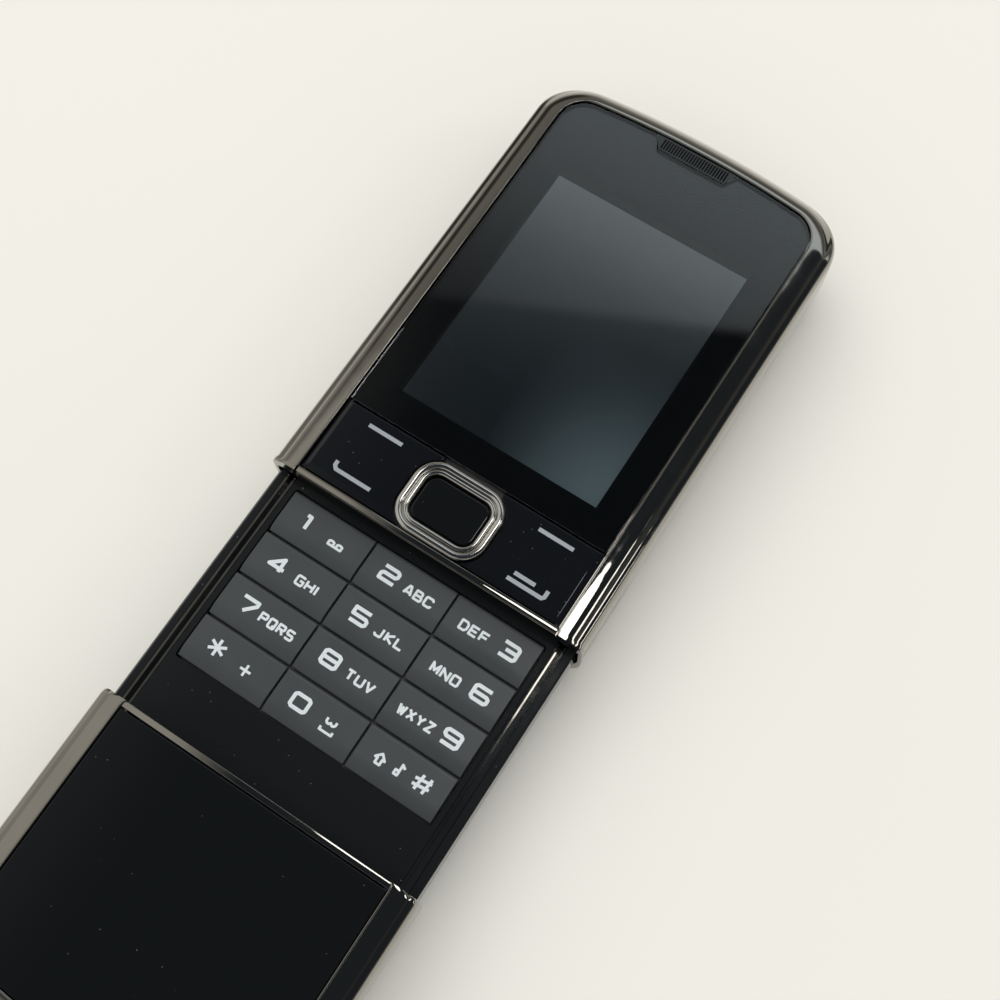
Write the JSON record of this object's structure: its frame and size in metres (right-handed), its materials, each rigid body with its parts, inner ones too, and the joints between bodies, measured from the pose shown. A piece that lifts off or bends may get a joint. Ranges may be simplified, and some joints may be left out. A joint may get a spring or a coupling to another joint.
{
  "type": "slider phone",
  "caption": "Slider phone, slid open on its back: a mirror gunmetal display half with rocker pads and a ring slides on rails over a body with number keys and a battery bay.",
  "frame": {"origin": "middle of the open phone's underside, on the surface it lies on", "axes": "+Y along the slide towards the earpiece, +Z out of the front, +X to the right seen from the front"},
  "size_m": [0.0476, 0.1464, 0.0158],
  "materials": {
    "gunmetal": "mirror-polished dark gunmetal plating",
    "window": "hard gloss black window",
    "display": "dark grey display behind the window",
    "gloss_black": "gloss black moulding",
    "keys": "satin dark grey with pale legends",
    "steel": "bright stamped steel",
    "rubber": "matt silicone",
    "circuit_board": "solder-masked board",
    "dark_plastic": "fine-textured structural moulding",
    "battery": "printed-free battery sleeve"
  },
  "bodies": {
    "base_half": {"lower_shell": "gunmetal", "lower_panel": "window", "camera_lens": "window", "inner_frame": "gloss_black", "rail_left": "steel", "rail_right": "steel", "screw_1": "steel", "screw_2": "steel", "screw_3": "steel", "screw_4": "steel", "shield_can_front": "steel", "shield_can_rear": "steel", "vibration_motor": "steel", "sim_holder": "steel", "microphone": "steel", "charging_socket": "steel", "number_mat": "rubber", "keypad_board": "circuit_board", "main_board": "circuit_board", "rear_chassis": "dark_plastic", "camera_module": "dark_plastic", "battery_contacts": "dark_plastic", "antenna_carrier": "dark_plastic", "loudspeaker": "dark_plastic", "battery": "battery"},
    "display_half": {"slider_shell": "gunmetal", "slider_back": "gunmetal", "slider_chassis": "steel", "runner_left": "steel", "runner_right": "steel", "display_window": "window", "earpiece_grille": "gloss_black", "display_module": "display", "earpiece": "dark_plastic", "function_board": "circuit_board", "function_mat": "rubber"},
    "left_rocker": {"left_pad": "gloss_black"},
    "right_rocker": {"right_pad": "gloss_black"},
    "nav_gimbal": {"nav_carrier": "dark_plastic"},
    "nav_ring": {"nav_ring": "gunmetal"},
    "centre_key": {"centre_key": "gloss_black"},
    "battery_cover": {"battery_cover": "gunmetal"},
    "motor_weight": {"motor_weight": "steel"},
    "key_1": {"key_1": "keys"},
    "key_2": {"key_2": "keys"},
    "key_3": {"key_3": "keys"},
    "key_4": {"key_4": "keys"},
    "key_5": {"key_5": "keys"},
    "key_6": {"key_6": "keys"},
    "key_7": {"key_7": "keys"},
    "key_8": {"key_8": "keys"},
    "key_9": {"key_9": "keys"},
    "key_star": {"key_star": "keys"},
    "key_0": {"key_0": "keys"},
    "key_hash": {"key_hash": "keys"}
  },
  "joints": [
    {"name": "slider_slide", "type": "slide", "parent": "base_half", "child": "display_half", "axis": [0, 1, 0], "range_m": [-0.03535, 0]},
    {"name": "left_pad_rock", "type": "hinge", "parent": "display_half", "child": "left_rocker", "pos_m": [-0.0118, 0.00735, 0.01405], "axis": [1, 0, 0], "range_deg": [-1.2, 1.2], "stiffness_Nm_per_rad": 0.4},
    {"name": "right_pad_rock", "type": "hinge", "parent": "display_half", "child": "right_rocker", "pos_m": [0.0118, 0.00735, 0.01405], "axis": [1, 0, 0], "range_deg": [-1.2, 1.2], "stiffness_Nm_per_rad": 0.4},
    {"name": "nav_up_down", "type": "hinge", "parent": "display_half", "child": "nav_gimbal", "pos_m": [0, 0.00695, 0.01405], "axis": [1, 0, 0], "range_deg": [-0.8, 0.8], "stiffness_Nm_per_rad": 0.5},
    {"name": "nav_left_right", "type": "hinge", "parent": "nav_gimbal", "child": "nav_ring", "pos_m": [0, 0.00695, 0.01405], "axis": [0, 1, 0], "range_deg": [-0.8, 0.8], "stiffness_Nm_per_rad": 0.7},
    {"name": "centre_key_press", "type": "slide", "parent": "display_half", "child": "centre_key", "axis": [0, 0, -1], "range_m": [0, 0.0002], "stiffness_N_per_m": 3000, "springref_m": -0.0001},
    {"name": "key_1_press", "type": "slide", "parent": "base_half", "child": "key_1", "axis": [0, 0, -1], "range_m": [0, 0.0003], "stiffness_N_per_m": 2500, "springref_m": -0.0001},
    {"name": "key_2_press", "type": "slide", "parent": "base_half", "child": "key_2", "axis": [0, 0, -1], "range_m": [0, 0.0003], "stiffness_N_per_m": 2500, "springref_m": -0.0001},
    {"name": "key_3_press", "type": "slide", "parent": "base_half", "child": "key_3", "axis": [0, 0, -1], "range_m": [0, 0.0003], "stiffness_N_per_m": 2500, "springref_m": -0.0001},
    {"name": "key_4_press", "type": "slide", "parent": "base_half", "child": "key_4", "axis": [0, 0, -1], "range_m": [0, 0.0003], "stiffness_N_per_m": 2500, "springref_m": -0.0001},
    {"name": "key_5_press", "type": "slide", "parent": "base_half", "child": "key_5", "axis": [0, 0, -1], "range_m": [0, 0.0003], "stiffness_N_per_m": 2500, "springref_m": -0.0001},
    {"name": "key_6_press", "type": "slide", "parent": "base_half", "child": "key_6", "axis": [0, 0, -1], "range_m": [0, 0.0003], "stiffness_N_per_m": 2500, "springref_m": -0.0001},
    {"name": "key_7_press", "type": "slide", "parent": "base_half", "child": "key_7", "axis": [0, 0, -1], "range_m": [0, 0.0003], "stiffness_N_per_m": 2500, "springref_m": -0.0001},
    {"name": "key_8_press", "type": "slide", "parent": "base_half", "child": "key_8", "axis": [0, 0, -1], "range_m": [0, 0.0003], "stiffness_N_per_m": 2500, "springref_m": -0.0001},
    {"name": "key_9_press", "type": "slide", "parent": "base_half", "child": "key_9", "axis": [0, 0, -1], "range_m": [0, 0.0003], "stiffness_N_per_m": 2500, "springref_m": -0.0001},
    {"name": "key_star_press", "type": "slide", "parent": "base_half", "child": "key_star", "axis": [0, 0, -1], "range_m": [0, 0.0003], "stiffness_N_per_m": 2500, "springref_m": -0.0001},
    {"name": "key_0_press", "type": "slide", "parent": "base_half", "child": "key_0", "axis": [0, 0, -1], "range_m": [0, 0.0003], "stiffness_N_per_m": 2500, "springref_m": -0.0001},
    {"name": "key_hash_press", "type": "slide", "parent": "base_half", "child": "key_hash", "axis": [0, 0, -1], "range_m": [0, 0.0003], "stiffness_N_per_m": 2500, "springref_m": -0.0001},
    {"name": "battery_cover_slide", "type": "slide", "parent": "base_half", "child": "battery_cover", "axis": [0, -1, 0], "range_m": [0, 0.012]},
    {"name": "motor_spin", "type": "hinge", "parent": "base_half", "child": "motor_weight", "pos_m": [0.0093, -0.0306, 0.004], "axis": [1, 0, 0], "continuous": true}
  ]
}
